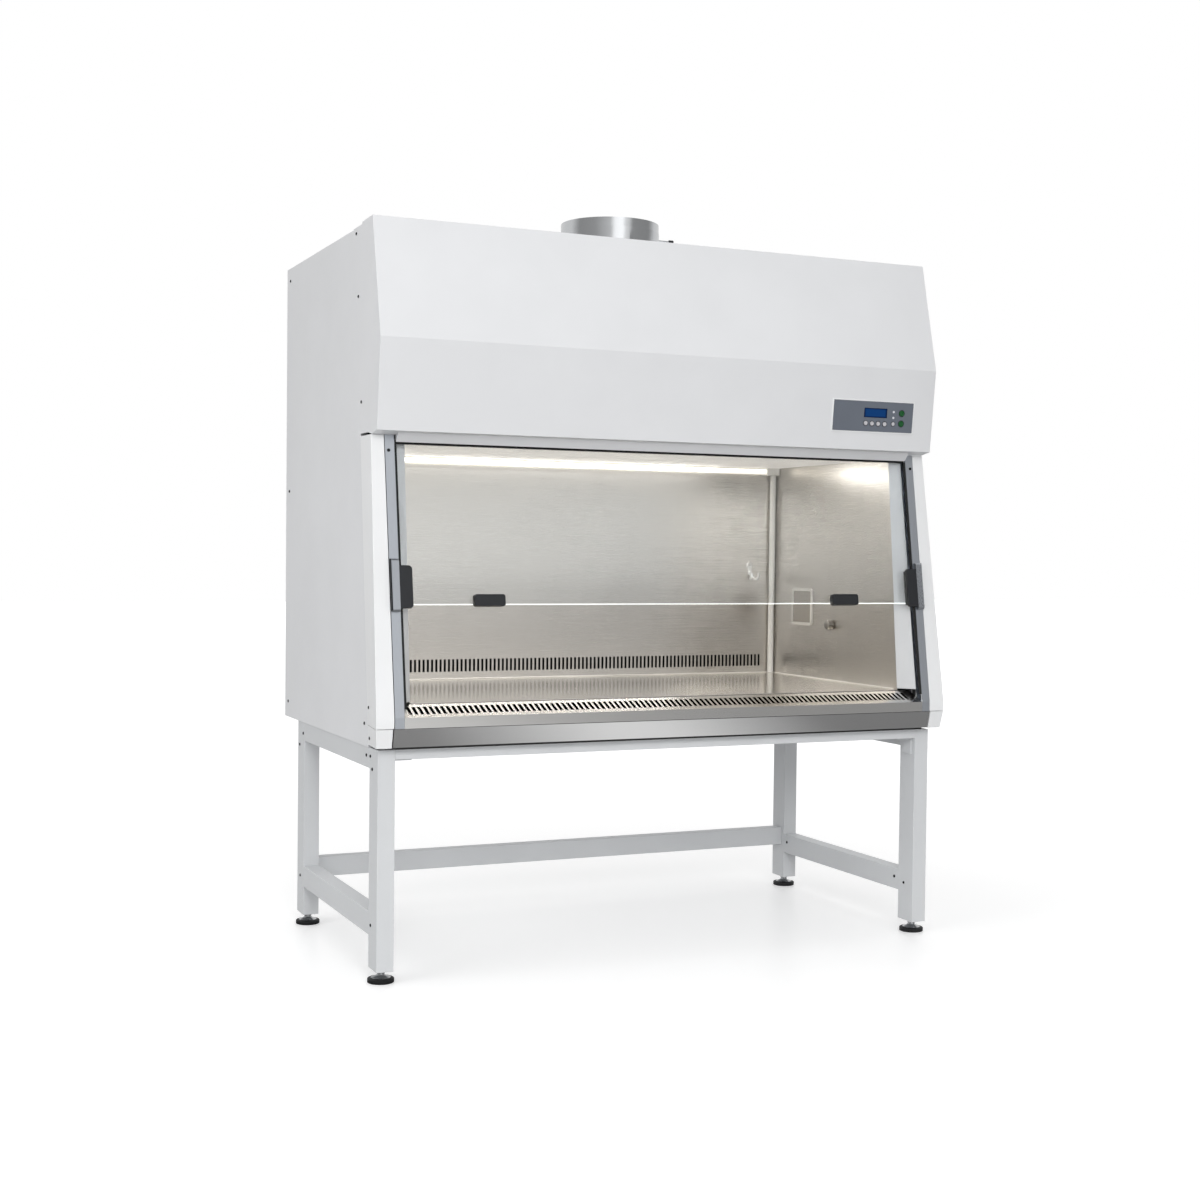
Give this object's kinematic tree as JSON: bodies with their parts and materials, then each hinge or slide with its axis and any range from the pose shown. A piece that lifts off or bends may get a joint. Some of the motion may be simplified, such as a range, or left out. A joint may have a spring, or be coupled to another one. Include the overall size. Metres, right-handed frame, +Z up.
{
  "type": "biosafety cabinet",
  "caption": "Biosafety cabinet with a sliding counterweighted sash, slotted air grille, filters and blower, control panel and exhaust collar, on a levelling stand",
  "frame": {"origin": "on the floor under the middle of the cabinet", "axes": "+X to the operator's right, -Y towards the operator (front), +Z up"},
  "size_m": [1.682, 0.997, 2.037],
  "materials": {
    "powder_coat": "satin",
    "trim_white": "satin",
    "stand_paint": "satin",
    "stainless": "brushed",
    "stainless_front": "brushed",
    "rail_aluminium": "satin",
    "bright_steel": "polished",
    "collar_steel": "brushed",
    "valve_metal": "satin",
    "black_rubber": "matte",
    "black_plastic": "matte",
    "sash_glass": "polished",
    "lamp_glass": "polished",
    "lamp_plastic": "satin",
    "panel_slate": "satin",
    "display_blue": "gloss",
    "button_silver": "satin",
    "button_green": "gloss",
    "light_lens": "gloss",
    "outlet_plastic": "satin",
    "filter_media": "matte",
    "cast_grey": "matte",
    "blower_zinc": "satin",
    "cable_steel": "satin",
    "screw_steel": "satin"
  },
  "bodies": {
    "cabinet": {"stand_legs": "stand_paint", "stand_rails": "stand_paint", "fasteners": "screw_steel", "side_panel_left": "powder_coat", "side_panel_right": "powder_coat", "rear_panel": "powder_coat", "power_inlet": "black_plastic", "top_panel": "powder_coat", "base_pan": "stainless", "hood_shell": "powder_coat", "corner_trim_left": "trim_white", "corner_trim_right": "trim_white", "sash_rails": "rail_aluminium", "sash_seals": "black_rubber", "front_posts": "stand_paint", "shaft_hangers": "cast_grey", "rear_baffle": "stainless", "liner_walls": "stainless", "ceiling_diffuser": "filter_media", "lamp_tube": "lamp_glass", "lamp_holders": "lamp_plastic", "work_trays": "stainless", "front_grille": "stainless_front", "front_apron": "stainless_front", "coat_hook": "bright_steel", "outlet_frame": "outlet_plastic", "plenum_box": "blower_zinc", "supply_filter": "filter_media", "exhaust_filter": "filter_media", "blower_housing": "blower_zinc", "blower_motor": "cast_grey", "exhaust_collar": "collar_steel", "control_panel": "panel_slate", "display_window": "display_blue", "status_lights": "light_lens"},
    "sash": {"sash_glass": "sash_glass", "sash_top_rail": "rail_aluminium", "side_grips": "black_plastic", "side_brackets": "rail_aluminium", "bottom_grips": "black_plastic", "sash_cables": "cable_steel"},
    "counterweights": {"counterweights": "cast_grey", "weight_cables": "cable_steel"},
    "lift_shaft": {"lift_shaft": "bright_steel"},
    "impeller": {"blower_impeller": "blower_zinc"},
    "damper": {"damper_blade": "collar_steel", "damper_knob": "black_plastic"},
    "valve": {"valve_knob": "valve_metal"},
    "flap": {"outlet_flap": "outlet_plastic"},
    "button_menu": {"button_menu": "button_silver"},
    "button_down": {"button_down": "button_silver"},
    "button_up": {"button_up": "button_silver"},
    "button_enter": {"button_enter": "button_silver"},
    "button_mute": {"button_mute": "button_silver"},
    "button_light": {"button_light": "button_green"},
    "button_blower": {"button_blower": "button_green"},
    "foot_front_left": {"foot_front_left": "black_rubber"},
    "foot_front_right": {"foot_front_right": "black_rubber"},
    "foot_rear_left": {"foot_rear_left": "black_rubber"},
    "foot_rear_right": {"foot_rear_right": "black_rubber"}
  },
  "joints": [
    {"name": "sash_slide", "type": "slide", "parent": "cabinet", "child": "sash", "axis": [0, 0.1512, 0.9885], "range_m": [-0.255, 0.2], "deforming": ["sash_cables"]},
    {"name": "counterweight_slide", "type": "slide", "parent": "cabinet", "child": "counterweights", "axis": [0, 0, 1], "range_m": [-0.2, 0.255], "deforming": ["weight_cables"]},
    {"name": "lift_shaft_spin", "type": "hinge", "parent": "cabinet", "child": "lift_shaft", "pos_m": [0, -0.2805, 1.885], "axis": [-1, 0, 0], "range_deg": [-731.52, 573.96]},
    {"name": "impeller_spin", "type": "hinge", "parent": "cabinet", "child": "impeller", "pos_m": [0, 0.1185, 1.682], "axis": [1, 0, 0], "continuous": true},
    {"name": "damper_turn", "type": "hinge", "parent": "cabinet", "child": "damper", "pos_m": [0, -0.0015, 2.007], "axis": [0, 0, 1], "range_deg": [0, 55]},
    {"name": "valve_turn", "type": "hinge", "parent": "cabinet", "child": "valve", "pos_m": [0.731, -0.0735, 0.876], "axis": [-1, 0, 0], "range_deg": [0, 90]},
    {"name": "flap_hinge", "type": "hinge", "parent": "cabinet", "child": "flap", "pos_m": [0.72845, 0.1025, 0.972], "axis": [0, 1, 0], "range_deg": [0, 95], "stiffness_Nm_per_rad": 0.02, "springref_deg": -28.65},
    {"name": "button_menu_press", "type": "slide", "parent": "cabinet", "child": "button_menu", "axis": [0, 0.9941, 0.1081], "range_m": [0, 0.001], "stiffness_N_per_m": 300, "springref_m": -0.002},
    {"name": "button_down_press", "type": "slide", "parent": "cabinet", "child": "button_down", "axis": [0, 0.9941, 0.1081], "range_m": [0, 0.001], "stiffness_N_per_m": 300, "springref_m": -0.002},
    {"name": "button_up_press", "type": "slide", "parent": "cabinet", "child": "button_up", "axis": [0, 0.9941, 0.1081], "range_m": [0, 0.001], "stiffness_N_per_m": 300, "springref_m": -0.002},
    {"name": "button_enter_press", "type": "slide", "parent": "cabinet", "child": "button_enter", "axis": [0, 0.9941, 0.1081], "range_m": [0, 0.001], "stiffness_N_per_m": 300, "springref_m": -0.002},
    {"name": "button_mute_press", "type": "slide", "parent": "cabinet", "child": "button_mute", "axis": [0, 0.9941, 0.1081], "range_m": [0, 0.001], "stiffness_N_per_m": 300, "springref_m": -0.002},
    {"name": "button_light_press", "type": "slide", "parent": "cabinet", "child": "button_light", "axis": [0, 0.9941, 0.1081], "range_m": [0, 0.001], "stiffness_N_per_m": 300, "springref_m": -0.002},
    {"name": "button_blower_press", "type": "slide", "parent": "cabinet", "child": "button_blower", "axis": [0, 0.9941, 0.1081], "range_m": [0, 0.001], "stiffness_N_per_m": 300, "springref_m": -0.002},
    {"name": "foot_front_left_level", "type": "slide", "parent": "cabinet", "child": "foot_front_left", "axis": [0, 0, -1], "range_m": [0, 0.025]},
    {"name": "foot_front_right_level", "type": "slide", "parent": "cabinet", "child": "foot_front_right", "axis": [0, 0, -1], "range_m": [0, 0.025]},
    {"name": "foot_rear_left_level", "type": "slide", "parent": "cabinet", "child": "foot_rear_left", "axis": [0, 0, -1], "range_m": [0, 0.025]},
    {"name": "foot_rear_right_level", "type": "slide", "parent": "cabinet", "child": "foot_rear_right", "axis": [0, 0, -1], "range_m": [0, 0.025]}
  ],
  "couplings": [
    {"joint": "counterweight_slide", "follows": "sash_slide", "ratio": -1},
    {"joint": "lift_shaft_spin", "follows": "sash_slide", "rad_per_m": 50}
  ]
}
